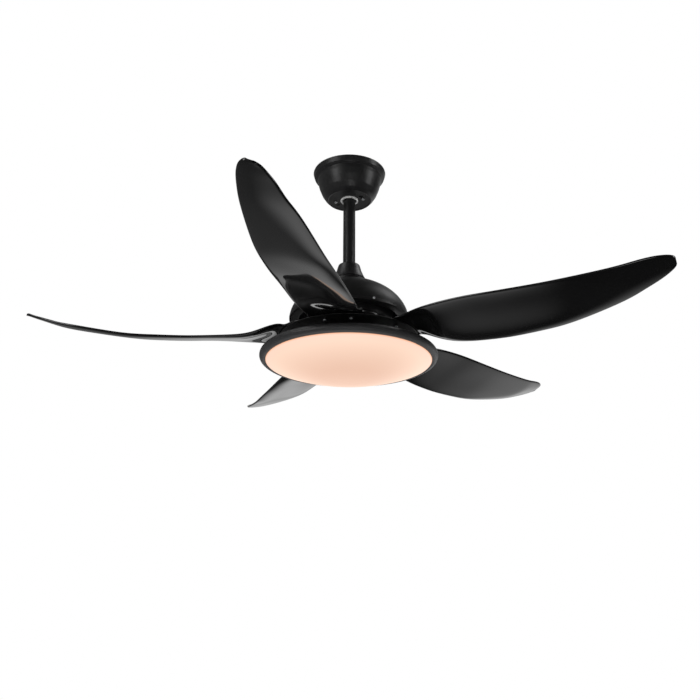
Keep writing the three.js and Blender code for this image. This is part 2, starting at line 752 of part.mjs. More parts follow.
// The bezel is a rolled ring, open on the inside above, that hangs round the tray's rim.
function addBezel() {
  const outer = arc(BEZEL_CENTRE_R, BEZEL_CENTRE_Z, BEZEL_TUBE_R, -112, 122, 8);
  const inner = arc(BEZEL_CENTRE_R, BEZEL_CENTRE_Z, BEZEL_TUBE_R - 2, 118, -108, 5);
  const lip = TRAY_R + GAP;
  const lipLow = TRAY_RIM_LOW + 1.5;
  const wall = [
    [lip, outer[outer.length - 1][1]],
    [lip, lipLow],
    [lip + 1.7, lipLow],
    [lip + 1.7, -434.6],
  ];
  addPiece("bezel_ring", turned([...outer, ...wall, ...inner, outer[0]], FINE), BLACK_SATIN);
}

// Depth of the diffuser's outside below its edge plane at a radius.
const lensDrop = (r) => LENS_DEPTH * (1 - (r / LENS_R) ** 2);

// Opal diffuser: a shallow bowl with a flat edge, an upright skirt and three lugs.
function addDiffuser() {
  const edgeDrop = 1.2;
  const bowlRadii = [0, 45, 90, 125, 150, LENS_R - 1.2];
  const outer = bowlRadii.map((r) => [r, LENS_RIM_Z - lensDrop(r) - edgeDrop]);
  const edge = [
    [LENS_R, LENS_RIM_Z - 0.8],
    [LENS_R - 1.6, LENS_RIM_Z + 0.1],
    [SKIRT_R, LENS_RIM_Z - 1.4],
    [SKIRT_R, -440.8],
    [SKIRT_R - 2, -440.8],
    [SKIRT_R - 2, LENS_RIM_Z - 2.6],
  ];
  const inner = bowlRadii
    .slice(0, 5)
    .reverse()
    .map((r) => [r, LENS_RIM_Z - lensDrop(r) - edgeDrop + LENS_WALL]);
  const bowl = turned([...outer, ...edge, ...inner], FINE);
  const lugs = LUG_ANGLES.map((angle) =>
    block(6, 12, 1.8, SKIRT_R - 4.4, 0, LUG_Z).rotateZ(angle),
  );
  addPiece("diffuser", join(bowl, ...lugs), OPAL);
}

addBracket();
addReceiver();
addCanopy();
addSplitCollar();
addHangerBall();
addDownrod();
addCouplingCover();
addYoke();
addDome();
addDomeRing();
addShaft();
addStator();
addRotor();
addBlades();
addLightHub();
addLightTray();
addLedBoard();
addBezel();
addDiffuser();

export default fan;
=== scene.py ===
"""Visual pieces and studio of a black five-blade ceiling fan with a round light.

Lengths are millimetres unless a comment says otherwise.
"""

import math

import bmesh
import bpy
from mathutils import Euler, Matrix, Vector


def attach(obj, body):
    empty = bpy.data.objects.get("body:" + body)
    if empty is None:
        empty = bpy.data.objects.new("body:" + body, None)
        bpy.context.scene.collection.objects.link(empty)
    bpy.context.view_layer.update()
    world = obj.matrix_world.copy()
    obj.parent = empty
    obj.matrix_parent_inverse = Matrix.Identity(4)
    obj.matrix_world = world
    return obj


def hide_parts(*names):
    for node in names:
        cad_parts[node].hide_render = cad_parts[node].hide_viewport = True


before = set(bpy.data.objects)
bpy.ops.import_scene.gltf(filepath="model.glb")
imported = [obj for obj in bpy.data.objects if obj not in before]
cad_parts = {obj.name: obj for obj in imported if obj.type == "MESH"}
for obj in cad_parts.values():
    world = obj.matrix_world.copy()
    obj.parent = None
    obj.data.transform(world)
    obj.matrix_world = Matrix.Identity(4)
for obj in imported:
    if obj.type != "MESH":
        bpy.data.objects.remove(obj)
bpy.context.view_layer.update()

MM = 0.001
ROUND = 160  # facets round the large turned pieces

# Ceiling fixing, ball and rod
BRACKET_TURN = -12.0
CEILING_SCREW_X = 54
SEAT_LOW, SEAT_TOP = -54.5, -52
SCREW_HOLE_R = 2.3
CANOPY_BOTTOM = -68.3
CANOPY_SCREW_CIRCLE = 31
KEYHOLE_TURN = -24  # degrees from a canopy screw to the wide end of its slot
BALL_R, BALL_Z = 21, -42
ROD_R, ROD_BORE = 13.35, 10.6
PIN_HOLE_R = 3.3
YOKE_PIN_Z = -243
YOKE_SET_SCREW_Z = -250

# Blade stations: distance from the axis, sideways shift, half chord, height above the lens rim,
# half the drop across the chord, then how far the middle sags below the edges, how far the sag
# leans to the low edge, and how flat its middle is.
BLADE_STATIONS = [
    (90, 22.5, 65.5, 54.3, 0, 0, 0, 0),
    (118, 15, 64, 54.3, 0, 0, 0, 0),
    (136, 2.5, 55.5, 54.4, 0, 0, 0, 0),
    (150, 2.5, 57, 54.4, 0.3, 0.6, 0.6, 0.4),
    (175, 2, 63, 51.3, 6.5, 2.8, 2.3, 2.4),
    (209, -1.2, 64.8, 46, 14.5, 4.4, 2.2, 2.5),
    (250, -1, 67, 43, 19, 3.6, 2.2, 2.0),
    (294, -1, 68, 41, 20.7, 2.4, 2.1, 1.8),
    (340, -1.5, 67.9, 39, 20.7, 2.2, 1.9, 2.0),
    (400, -2.1, 65.5, 38.6, 19.6, 2.9, 2.2, 2.3),
    (463, -2.3, 60, 41.3, 18, 3.8, 1.8, 1.7),
    (547, -1.8, 48.4, 51.9, 13.9, 4.3, 0.6, 0.5),
    (590, -3.4, 39, 60.3, 12, 4, 0.1, 0),
    (618, -3.2, 32, 67.4, 10, 3, 0, 0),
    (636, -3, 25.6, 71.6, 8, 1.8, 0, 0),
    (648, -2.6, 19.4, 74.5, 6, 1, 0, 0),
    (654.4, -2.2, 13.6, 75.9, 4.8, 0.3, 0, 0),
    (657.2, -2, 9.2, 76.6, 4.2, 0, 0, 0),
    (658.4, -2, 5.2, 76.9, 4, 0, 0, 0),
]
LENS_RIM_Z = -448.6
BLADE_ANGLES = [41.9 + 72 * i for i in range(5)]
BLADE_THICK = 5.0
BLADE_SCREW_CIRCLE = 125
BLADE_SCREW_OFFSETS = (-10.3, 14.1)
BLADE_TIP_R = 658.6
BLADE_TIP_ROUNDING = 1.8  # length over which the thickness rounds off at the tip
PLATE_LOW, PLATE_HIGH = -399.8, -397.3

# Motor housing
DOME_R = 126.4
DOME_RIM_Z = -357.9
DOME_HEIGHT = 87.4
DOME_POWER = 1.93
DOME_WALL = 1.4
DOME_BOSS_TOP = -265.9
DOME_SCREW_ANGLES = (293, 53, 173)
DOME_SCREW_Z = -353.5

# Light
BEZEL_R, BEZEL_Z, BEZEL_TUBE, BEZEL_WALL = 176.6, -440.1, 9.3, 2
LENS_R, LENS_DEPTH, LENS_WALL = 173.1, 34, 2.6
GLOW_DEPTH = 35.2  # below the lens rim, over which the lit tone changes
LUG_ANGLES = (30, 150, 270)
FLOOR_R, FLOOR_Z = 6500.0, -2500

# Lamps and camera, in metres. The backdrop comes up over ranges of a direction's Y, Z and X. Each
# is start and end, with the share of light at both where it doesn't go from 0 to 1: "above" fades
# the backdrop over the horizon, and "room" is the dim room from left to right.
BACKDROP = {
    "behind": (0.5, 0.9),
    "level": (-0.42, -0.1),
    "across": (-0.36, -0.1),
    "above": (-0.08, 0.08, 1.0, 0.55),
    "room": (-0.4, -0.12, 0.17, 0.04),
}
SOFTBOXES = [
    # name, centre, looks at, size, strength
    ("box_under", (-0.08, -0.06, -0.9), (-0.06, -0.46, -0.41), (1.15, 0.72), 1.2),
    ("box_right_back", (1.3, 1.3, -1.15), (0.36, 0.3, -0.4), (2.6, 2.2), 0.75),
    ("box_front_left", (-1.6, -1.45, 0.0), (0, 0, -0.1), (0.8, 1.2), 6.0),
    ("box_front_right", (2.1, -0.5, 0.1), (0, 0, -0.1), (0.9, 1.2), 6.0),
    ("box_front_low", (0.3, -3.0, -1.5), (0, 0, -0.4), (1.8, 0.9), 5.0),
    ("box_over_right", (1.5, 0.6, 1.6), (0, 0, -0.3), (1.6, 1.6), 3.0),
    ("box_over_left", (-1.5, -0.6, 1.6), (0, 0, -0.3), (1.6, 1.6), 3.0),
]
CAMERA_PLACE = (0, -1.6403, -1.0030)
CAMERA_PITCH, CAMERA_YAW, CAMERA_ROLL = 0.3401, 0.0016, 0.0036
CAMERA_LENS = 42.75

# CAD nodes that are kept, and the look of each.
CARRIED = {
    "motor_shaft": "steel",
    "upper_bearing": "steel",
    "lower_bearing": "steel",
    "stator_core": "iron",
    "stator_windings": "copper",
    "stator_carrier": "aluminium",
    "magnet_ring": "magnet",
    "shaft_nut": "zinc",
    "led_driver": "plastic",
    "led_board": "board",
    "light_tray_screw_1": "zinc",
    "light_tray_screw_2": "zinc",
    "light_tray_screw_3": "zinc",
}


# ------------------------------------------------------------------ node helpers
def new_material(name):
    material = bpy.data.materials.new(name)
    material.use_nodes = True
    nodes = material.node_tree.nodes
    return material, nodes, material.node_tree.links, nodes["Principled BSDF"]


def object_coordinates(nodes, links, stretch=(1, 1, 1)):
    """Object coordinates, stretched per axis."""
    coords = nodes.new("ShaderNodeTexCoord")
    mapping = nodes.new("ShaderNodeMapping")
    mapping.inputs["Scale"].default_value = stretch
    links.new(coords.outputs["Object"], mapping.inputs["Vector"])
    return mapping.outputs["Vector"]


def noise(nodes, links, vector, scale, detail=3.0, roughness=0.5):
    texture = nodes.new("ShaderNodeTexNoise")
    texture.inputs["Scale"].default_value = scale
    texture.inputs["Detail"].default_value = detail
    texture.inputs["Roughness"].default_value = roughness
    links.new(vector, texture.inputs["Vector"])
    return texture.outputs["Fac"]


def ramp(nodes, links, factor, low, high, start=0.3, end=0.7):
    """A two-stop ramp from colour or value low to high."""
    node = nodes.new("ShaderNodeValToRGB")
    for element, place, value in zip(node.color_ramp.elements, (start, end), (low, high)):
        element.position = place
        element.color = (*value, 1) if isinstance(value, tuple) else (value, value, value, 1)
    links.new(factor, node.inputs["Fac"])
    return node.outputs["Color"]


def bump(nodes, links, shader, height, distance, before=None):
    node = nodes.new("ShaderNodeBump")
    node.inputs["Distance"].default_value = distance
    links.new(height, node.inputs["Height"])
    if before is not None:
        links.new(before, node.inputs["Normal"])
    links.new(node.outputs["Normal"], shader.inputs["Normal"])
    return node.outputs["Normal"]


def paint(name, colour, deeper, rough, grain, grain_depth, wave=0.0):
    """Paint or plastic: colour and roughness wander a little, with a fine grain."""
    material, nodes, links, shader = new_material(name)
    vector = object_coordinates(nodes, links)
    broad = noise(nodes, links, vector, 9.0, 4.0)
    links.new(ramp(nodes, links, broad, deeper, colour), shader.inputs["Base Color"])
    cloud = noise(nodes, links, vector, 34.0, 6.0, 0.6)
    links.new(ramp(nodes, links, cloud, rough[0], rough[1]), shader.inputs["Roughness"])
    fine = noise(nodes, links, vector, grain, 2.0)
    normal = bump(nodes, links, shader, fine, grain_depth)
    if wave:
        slow = noise(nodes, links, vector, 55.0, 1.0)
        bump(nodes, links, shader, slow, wave, before=normal)
    return material


def metal(name, colour, deeper, rough, stretch, scale=260.0, depth=0.00003):
    """Bare or plated metal with fine marks drawn out along one way."""
    material, nodes, links, shader = new_material(name)
    shader.inputs["Metallic"].default_value = 1.0
    vector = object_coordinates(nodes, links, stretch)
    marks = noise(nodes, links, vector, scale, 5.0, 0.6)
    plain = object_coordinates(nodes, links)
    broad = noise(nodes, links, plain, 60.0, 4.0)
    links.new(ramp(nodes, links, broad, deeper, colour), shader.inputs["Base Color"])
    links.new(ramp(nodes, links, marks, rough[0], rough[1]), shader.inputs["Roughness"])
    bump(nodes, links, shader, marks, depth)
    return material


def wound_copper(name):
    """Enamelled wire, wound in close rings about the axis."""
    material, nodes, links, shader = new_material(name)
    shader.inputs["Metallic"].default_value = 1.0
    shader.inputs["Coat Weight"].default_value = 0.6
    vector = object_coordinates(nodes, links)
    strands = nodes.new("ShaderNodeTexWave")
    strands.wave_type = "RINGS"
    strands.rings_direction = "Z"
    strands.inputs["Scale"].default_value = 190.0
    strands.inputs["Distortion"].default_value = 1.5
    links.new(vector, strands.inputs["Vector"])
    height = strands.outputs["Fac"]
    tone = ramp(nodes, links, height, (0.25, 0.08, 0.03), (0.72, 0.34, 0.17), 0.0, 0.8)
    links.new(tone, shader.inputs["Base Color"])
    shader.inputs["Roughness"].default_value = 0.3
    bump(nodes, links, shader, height, 0.0003)
    return material


def laminated_iron(name):
    """A stack of thin plates, darker in the grooves between them, with grime in the roughness."""
    material, nodes, links, shader = new_material(name)
    shader.inputs["Metallic"].default_value = 1.0
    vector = object_coordinates(nodes, links)
    layers = nodes.new("ShaderNodeTexWave")
    layers.bands_direction = "Z"
    layers.inputs["Scale"].default_value = 320.0
    layers.inputs["Distortion"].default_value = 0.3
    links.new(vector, layers.inputs["Vector"])
    height = layers.outputs["Fac"]
    tone = ramp(nodes, links, height, (0.06, 0.06, 0.065), (0.22, 0.22, 0.23), 0.1, 0.9)
    links.new(tone, shader.inputs["Base Color"])
    grime = noise(nodes, links, vector, 120.0, 5.0)
    links.new(ramp(nodes, links, grime, 0.35, 0.65), shader.inputs["Roughness"])
    bump(nodes, links, shader, height, 0.0001)
    return material


def lit_opal(name):
    """Opal acrylic lit from inside: brightest at the rim, where the wall is thinnest to the light."""
    material, nodes, links, shader = new_material(name)
    coords = nodes.new("ShaderNodeTexCoord")
    split = nodes.new("ShaderNodeSeparateXYZ")
    links.new(coords.outputs["Object"], split.inputs["Vector"])
    depth = nodes.new("ShaderNodeMapRange")
    depth.inputs["From Min"].default_value = (LENS_RIM_Z - GLOW_DEPTH) * MM
    depth.inputs["From Max"].default_value = LENS_RIM_Z * MM
    links.new(split.outputs["Z"], depth.inputs["Value"])
    tones = nodes.new("ShaderNodeValToRGB")
    stops = tones.color_ramp.elements
    stops[0].position = 0.1
    stops[0].color = (0.84, 0.545, 0.41, 1)
    stops[1].position = 0.75
    stops[1].color = (0.98, 0.7, 0.545, 1)
    stops.new(0.93).color = (0.96, 0.69, 0.55, 1)
    stops.new(0.985).color = (1.0, 0.5, 0.3, 1)
    links.new(depth.outputs["Result"], tones.inputs["Fac"])
    cloud = noise(nodes, links, coords.outputs["Object"], 6.0, 2.0)
    mix = nodes.new("ShaderNodeMix")
    mix.data_type = "RGBA"
    mix.blend_type = "MULTIPLY"
    mix.inputs["Factor"].default_value = 1.0
    links.new(tones.outputs["Color"], mix.inputs["A"])
    links.new(ramp(nodes, links, cloud, (0.975, 0.97, 0.965), (1.0, 1.0, 1.0)), mix.inputs["B"])
    links.new(mix.outputs["Result"], shader.inputs["Emission Color"])
    shader.inputs["Emission Strength"].default_value = 1.0
    shader.inputs["Base Color"].default_value = (0.03, 0.025, 0.022, 1)
    grain = noise(nodes, links, coords.outputs["Object"], 500.0, 2.0)
    links.new(ramp(nodes, links, grain, 0.4, 0.48), shader.inputs["Roughness"])
    bump(nodes, links, shader, grain, 0.00003)
    return material


MATERIALS = {
    "satin": paint(
        "satin_black_powder", (0.015, 0.015, 0.0155), (0.012, 0.012, 0.0125), (0.31, 0.4), 1500.0, 0.00007
    ),
    "shell": paint(
        "gloss_black_paint",
        (0.007, 0.007, 0.0072),
        (0.0055, 0.0055, 0.0056),
        (0.4, 0.47),
        900.0,
        0.000006,
        0.00001,
    ),
    # A lighter copy of the satin black for the bezel: the lighter colour is painted light, standing in for
    # the light that falls on the bezel.
    "bezel_satin_lit": paint(
        "satin_black_painted_lit", (0.036, 0.036, 0.037), (0.03, 0.03, 0.031), (0.38, 0.46), 1500.0, 0.00007
    ),
    "blade": paint(
        "gloss_black_moulding",
        (0.0042, 0.0042, 0.0043),
        (0.003, 0.003, 0.0031),
        (0.03, 0.055),
        700.0,
        0.0000008,
        0.000006,
    ),
    "zinc": metal("bright_zinc", (0.93, 0.94, 0.95), (0.8, 0.81, 0.83), (0.32, 0.5), (1, 1, 6)),
    "steel": metal("machined_steel", (0.55, 0.56, 0.58), (0.4, 0.41, 0.43), (0.25, 0.5), (1, 1, 9)),
    "aluminium": metal(
        "cast_aluminium", (0.68, 0.69, 0.7), (0.52, 0.53, 0.54), (0.4, 0.62), (1, 1, 1), 700.0, 0.0001
    ),
    "iron": laminated_iron("laminated_iron"),
    "copper": wound_copper("wound_copper"),
    "magnet": paint("dark_magnet", (0.04, 0.04, 0.042), (0.025, 0.025, 0.026), (0.45, 0.6), 900.0, 0.00005),
    "nylon": paint("light_grey_nylon", (0.84, 0.84, 0.83), (0.76, 0.76, 0.75), (0.4, 0.52), 1200.0, 0.00003),
    "plastic": paint("white_moulding", (0.84, 0.84, 0.82), (0.78, 0.78, 0.76), (0.36, 0.5), 1300.0, 0.00004),
    "board": paint("board_white", (0.88, 0.88, 0.85), (0.82, 0.82, 0.79), (0.4, 0.5), 1500.0, 0.00002),
    "opal": lit_opal("lit_opal_acrylic"),
}


# ------------------------------------------------------------------ mesh helpers
def link_mesh(name, verts, faces):
    mesh = bpy.data.meshes.new(name)
    mesh.from_pydata([(x * MM, y * MM, z * MM) for x, y, z in verts], [], faces)
    mesh.validate()
    obj = bpy.data.objects.new(name, mesh)
    bpy.context.scene.collection.objects.link(obj)
    return obj


def applied(obj):
    """Bakes the modifiers of a piece into its mesh."""
    graph = bpy.context.evaluated_depsgraph_get()
    mesh = bpy.data.meshes.new_from_object(obj.evaluated_get(graph))
    obj.modifiers.clear()
    old = obj.data
    obj.data = mesh
    mesh.name = old.name
    return obj


def cleaned(obj, distance=0.002):
    """Merges doubled points and turns every face outwards."""
    work = bmesh.new()
    work.from_mesh(obj.data)
    bmesh.ops.remove_doubles(work, verts=work.verts, dist=distance * MM)
    bmesh.ops.recalc_face_normals(work, faces=work.faces)
    work.to_mesh(obj.data)
    work.free()
    return obj


def piece(obj, look, body, *nodes, sharp=38):
    """Finishes a piece: smooth shading, material, and what it rides on and stands for."""
    cleaned(obj)
    obj.data.shade_smooth()
    obj.data.set_sharp_from_angle(angle=math.radians(sharp))
    obj.data.materials.clear()
    obj.data.materials.append(MATERIALS[look])
    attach(obj, body)
    if nodes:
        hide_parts(*nodes)
    return obj


def rounded(corners, steps=5):
    """A closed line of (r, z, fillet) corners, with the fillets turned into arcs."""
    points = []
    count = len(corners)
    for i, (r, z, fillet) in enumerate(corners):
        here = Vector((r, z))
        if fillet <= 0:
            points.append((r, z))
            continue
        before = Vector(corners[(i - 1) % count][:2]) - here
        after = Vector(corners[(i + 1) % count][:2]) - here
        half = before.angle(after) / 2
        reach = min(fillet / math.tan(half), 0.49 * before.length, 0.49 * after.length)
        radius = reach * math.tan(half)
        middle = (before.normalized() + after.normalized()).normalized()
        centre = here + middle * (radius / math.sin(half))
        start = here + before.normalized() * reach - centre
        end = here + after.normalized() * reach - centre
        turn = start.angle_signed(end)
        for step in range(steps + 1):
            angle = -turn * step / steps
            arm = Vector((
                start.x * math.cos(angle) - start.y * math.sin(angle),
                start.x * math.sin(angle) + start.y * math.cos(angle),
            ))
            points.append(tuple(centre + arm))
    return points


def lathe(name, profile, segments=ROUND, middle=(0, 0, 0)):
    """Turns a closed line of (r, z) points about the Z axis."""
    verts, faces, rings = [], [], []
    for r, z in profile:
        if r < 1e-6:
            rings.append([len(verts)] * segments)
            verts.append((0, 0, z))
            continue
        rings.append(list(range(len(verts), len(verts) + segments)))
        for k in range(segments):
            angle = 2 * math.pi * k / segments
            verts.append((r * math.cos(angle), r * math.sin(angle), z))
    for i, ring in enumerate(rings):
        other = rings[(i + 1) % len(rings)]
        for k in range(segments):
            n = (k + 1) % segments
            corners = [ring[k], ring[n], other[n], other[k]]
            face = [v for j, v in enumerate(corners) if v not in corners[:j]]
            if len(face) > 2:
                faces.append(face)
    return link_mesh(name, [(x + middle[0], y + middle[1], z + middle[2]) for x, y, z in verts], faces)


def round_bar(radius, low, high, facets=32, middle=(0, 0, 0)):
    """A plain round bar along Z, for cutting a hole."""
    return lathe("bar", [(0, low), (radius, low), (radius, high), (0, high)], facets, middle)


def cross_bar(radius, reach, turn, height):
    """A round bar laid across the axis at a height, for cutting a pin's hole."""
    return placed(round_bar(radius, -reach, reach), turn, (0, 0, height))


def box(name, size, centre, bevel=0.0, turn=0.0):
    """A block with rounded edges, turned about Z through the origin."""
    obj = link_mesh(name, [], [])
    work = bmesh.new()
    bmesh.ops.create_cube(work, size=1.0)
    bmesh.ops.scale(work, vec=Vector(size) * MM, verts=work.verts)
    if bevel:
        bmesh.ops.bevel(work, geom=work.edges[:], offset=bevel * MM, segments=3, profile=0.5, affect="EDGES")
    bmesh.ops.translate(work, vec=Vector(centre) * MM, verts=work.verts)
    spin = Matrix.Rotation(math.radians(turn), 3, "Z")
    bmesh.ops.rotate(work, cent=(0, 0, 0), matrix=spin, verts=work.verts)
    work.to_mesh(obj.data)
    work.free()
    return obj


def from_curve(name, curve):
    """Turns a curve into a piece with the same shape."""
    source = bpy.data.objects.new(name + "_curve", curve)
    bpy.context.scene.collection.objects.link(source)
    graph = bpy.context.evaluated_depsgraph_get()
    mesh = bpy.data.meshes.new_from_object(source.evaluated_get(graph))
    bpy.data.objects.remove(source)
    bpy.data.curves.remove(curve)
    mesh.name = name
    obj = bpy.data.objects.new(name, mesh)
    bpy.context.scene.collection.objects.link(obj)
    return obj


def plate(name, loops, low, high, bevel=0.4):
    """A flat plate from closed outlines, inner ones being holes, with rounded edges."""
    curve = bpy.data.curves.new(name, "CURVE")
    curve.dimensions = "2D"
    curve.fill_mode = "BOTH"
    for loop in loops:
        spline = curve.splines.new("POLY")
        spline.points.add(len(loop) - 1)
        for target, (x, y) in zip(spline.points, loop):
            target.co = (x * MM, y * MM, 0, 1)
        spline.use_cyclic_u = True
    curve.extrude = ((high - low) / 2 - bevel) * MM
    curve.bevel_depth = bevel * MM
    curve.bevel_resolution = 2
    curve.offset = -bevel * MM
    return cleaned(placed(from_curve(name, curve), move=(0, 0, (low + high) / 2)))


def wire(name, points, radius):
    """A round wire along smooth points."""
    curve = bpy.data.curves.new(name, "CURVE")
    curve.dimensions = "3D"
    spline = curve.splines.new("NURBS")
    spline.points.add(len(points) - 1)
    for target, (x, y, z) in zip(spline.points, points):
        target.co = (x * MM, y * MM, z * MM, 1)
    spline.use_endpoint_u = True
    spline.order_u = 4
    curve.bevel_depth = radius * MM
    curve.bevel_resolution = 4
    curve.resolution_u = 4
    curve.use_fill_caps = True
    return from_curve(name, curve)


def circle(radius, x=0.0, y=0.0, count=64):
    angles = [2 * math.pi * k / count for k in range(count)]
    return [(x + radius * math.cos(a), y + radius * math.sin(a)) for a in angles]


def polar(radius, degrees):
    return radius * math.cos(math.radians(degrees)), radius * math.sin(math.radians(degrees))


def joined(name, parts):
    """One piece from several meshes that touch or overlap."""
    work = bmesh.new()
    for part in parts:
        part.data.transform(part.matrix_world)
        work.from_mesh(part.data)
    obj = bpy.data.objects.new(name, bpy.data.meshes.new(name))
    bpy.context.scene.collection.objects.link(obj)
    work.to_mesh(obj.data)
    work.free()
    for part in parts:
        bpy.data.objects.remove(part)
    return obj


def carved(obj, *tools):
    """Cuts the tools out of a piece, and removes them."""
    for tool in tools:
        cut = obj.modifiers.new("cut", "BOOLEAN")
        cut.operation = "DIFFERENCE"
        cut.solver = "EXACT"
        cut.object = tool
    applied(obj)
    for tool in tools:
        bpy.data.objects.remove(tool)
    return obj


def placed(obj, turn=(0, 0, 0), move=(0, 0, 0)):
    """Turns (degrees) and then moves a piece's mesh."""
    spin = Euler([math.radians(a) for a in turn]).to_matrix().to_4x4()
    obj.data.transform(Matrix.Translation(Vector(move) * MM) @ spin)
    return obj


# ------------------------------------------------------------------ ceiling fixing
def bracket_place(obj):
    """Turns a piece with the bracket."""
    return placed(obj, (0, 0, BRACKET_TURN))


def build_bracket():
    """Bent steel strap: ceiling plate, two arms and the seat with its open slot for the rod."""
    plate_line = rounded([(-62, -19, 5), (62, -19, 5), (62, 19, 5), (-62, 19, 5)], 6)
    holes = [circle(2.4, side * CEILING_SCREW_X, 0, 32) for side in (-1, 1)]
    holes += [circle(6, side * 28, 0, 40) for side in (-1, 1)]
    top = plate("ceiling_plate", [plate_line, *holes], -2.5, 0)
    arms = [box(f"arm_{side}", (2.5, 38, 52), (side * 42.75, 0, -28.2), 0.8) for side in (-1, 1)]
    seat_line = rounded([(-44, -19, 3), (44, -19, 3), (44, 19, 3), (-44, 19, 3)], 5)
    screw_holes = [circle(SCREW_HOLE_R, side * CANOPY_SCREW_CIRCLE, 0, 32) for side in (-1, 1)]
    seat = plate("seat", [seat_line, *screw_holes], SEAT_LOW, SEAT_TOP)
    room_r = BALL_R + 0.9
    room_angles = [math.pi * k / 40 for k in range(41)]
    room_line = [(room_r * math.sin(a), BALL_Z + room_r * math.cos(a)) for a in room_angles]
    ball_room = lathe("ball_room", room_line, 96)
    slot = box("slot", (30, 22, 8), (0, 10.5, -53))
    seat = carved(seat, ball_room, slot)
    whole = bracket_place(joined("bent_bracket", [top, *arms, seat]))
    piece(whole, "zinc", "ceiling_fixing", "ceiling_bracket")


def cross_recess(size, depth, at):
    """Two crossed blocks that cut a screwdriver recess."""
    tools = []
    for turn in (0, 90):
        tool = box("recess", (size, size * 0.24, depth * 2), (0, 0, 0), turn=turn)
        tool.data.transform(Matrix.Translation((0, 0, at * MM)))
        tools.append(tool)
    return tools


def pan_screw(name, head_r, head_height, shank_r, length):
    """Pan-head screw: head below z = 0 with a cross recess, ringed shank above."""
    angles = [math.radians(10 * k) for k in range(10)]
    dome = [(head_r * math.sin(a), -head_height * (0.35 + 0.65 * math.cos(a))) for a in angles]
    head = [*dome, (head_r, -0.25), (head_r - 0.2, 0), (shank_r, 0)]
    thread = []
    pitch = 0.8
    z = 0.6
    while z < length - 1.2:
        thread += [(shank_r * 0.86, z), (shank_r, z + pitch / 2)]
        z += pitch
    profile = [*head, (shank_r, 0.3), *thread, (shank_r * 0.86, z), (shank_r * 0.5, length), (0, length)]
    screw = lathe(name, profile, 40)
    return carved(screw, *cross_recess(head_r * 1.15, head_height * 0.55, -head_height))


def add_screw(name, node, body, size, place, spin):
    """A zinc screw pointing up, its recess turned by spin."""
    screw = pan_screw(name, *size)
    placed(screw, (0, 0, spin))
    placed(screw, move=place)
    piece(screw, "zinc", body, node, sharp=30)


def build_ceiling_screws():
    """Screws that hold the bracket: only their heads and necks are in the fan's space."""
    head_line = [(0, -5.4, 0), (2.6, -5.4, 0.6), (4.3, -4, 0.5), (4.6, -2.8, 0)]
    neck_line = [(2, -2.8, 0), (2, 0, 0), (0, 0, 0)]
    for i, side in enumerate((-1, 1)):
        screw = lathe("ceiling_screw", rounded(head_line + neck_line, 4), 48)
        carved(screw, *cross_recess(5.2, 1.6, -5.4))
        placed(screw, (0, 0, 20 * side))
        placed(screw, move=(side * CEILING_SCREW_X, 0, 0))
        bracket_place(screw)
        screw.name = f"ceiling_screw_{i + 1}"
        piece(screw, "steel", "ceiling_fixing", f"bracket_screw_{i + 1}")


def build_receiver():
    """Receiver of the remote control: a two-part case with a band at the seam and ribs on top."""
    lower = box("case_lower", (66, 30, 8.2), (0, 0, -12.9), 1.6)
    upper = box("case_upper", (66, 30, 4.2), (0, 0, -6.2), 1.2)
    band = box("case_band", (64.6, 28.6, 2), (0, 0, -8.6), 0.3)
    ribs = [box(f"rib_{k}", (1.2, 22, 1.0), (-24 + 8 * k, 0, -4.2), 0.3) for k in range(7)]
    whole = bracket_place(joined("receiver_case", [lower, upper, band, *ribs]))
    piece(whole, "plastic", "ceiling_fixing", "receiver_box")


def canopy_line():
    """Flat bottom with a raised centre, cup, step and rolled flange, then back inside."""
    return rounded(
        [
            (20.1, CANOPY_BOTTOM, 0.5),
            (27.5, CANOPY_BOTTOM, 0),
            (46.2, CANOPY_BOTTOM, 0.8),
            (47.4, -69.0, 0.5),
            (48.6, -69.0, 0.8),
            (54.4, -62.8, 5),
            (61.0, -52.4, 12),
            (67.0, -37.0, 16),
            (70.6, -24.0, 12),
            (71.8, -15.4, 1.2),
            (75.2, -14.0, 0.8),
            (75.8, -12.8, 0.5),
            (78.0, -12.2, 1.4),
            (79.6, -7.0, 6),
            (81.0, -2.2, 1.4),
            (80.2, -0.2, 0.4),
            (78.6, -0.2, 0.4),
            (78.2, -2.4, 0.4),
            (76.6, -10.2, 1.2),
            (70.1, -12.9, 1.2),
            (68.9, -24.0, 10),
            (65.3, -37.0, 14),
            (59.4, -51.6, 10),
            (53.1, -61.4, 4),
            (47.8, -66.7, 1.0),
            (20.1, -66.7, 0.4),
        ],
        6,
    )


def keyhole_tools(screw_angle):
    """Cutters for one keyhole slot: a curved slot, its round end and its wide end."""
    low, high, half_width = -75, -60, 2.4
    slot_angles = [screw_angle - 1.2 * k for k in range(18)]
    outer = [polar(CANOPY_SCREW_CIRCLE + half_width, a) for a in slot_angles]
    inner = [polar(CANOPY_SCREW_CIRCLE - half_width, a) for a in reversed(slot_angles)]
    slot = plate("keyslot", [outer + inner], low, high, 0.01)
    end_place = (*polar(CANOPY_SCREW_CIRCLE, screw_angle), 0)
    wide_place = (*polar(CANOPY_SCREW_CIRCLE, screw_angle + KEYHOLE_TURN), 0)
    end = round_bar(half_width, low, high, 32, end_place)
    wide = round_bar(4.4, low, high, 48, wide_place)
    return [slot, end, wide]


def build_canopy():
    shell = lathe("canopy_shell", canopy_line(), 200)
    carved(shell, *keyhole_tools(BRACKET_TURN), *keyhole_tools(180 + BRACKET_TURN))
    piece(shell, "satin", "ceiling_fixing", "canopy", sharp=50)
    for i in (0, 1):
        add_screw(
            f"canopy_fixing_screw_{i + 1}",
            f"canopy_screw_{i + 1}",
            "ceiling_fixing",
            (3.3, 2.2, 2, 19),
            (*polar(CANOPY_SCREW_CIRCLE, 180 * i + BRACKET_TURN), CANOPY_BOTTOM - 0.3),
            spin=25 + 40 * i,
        )


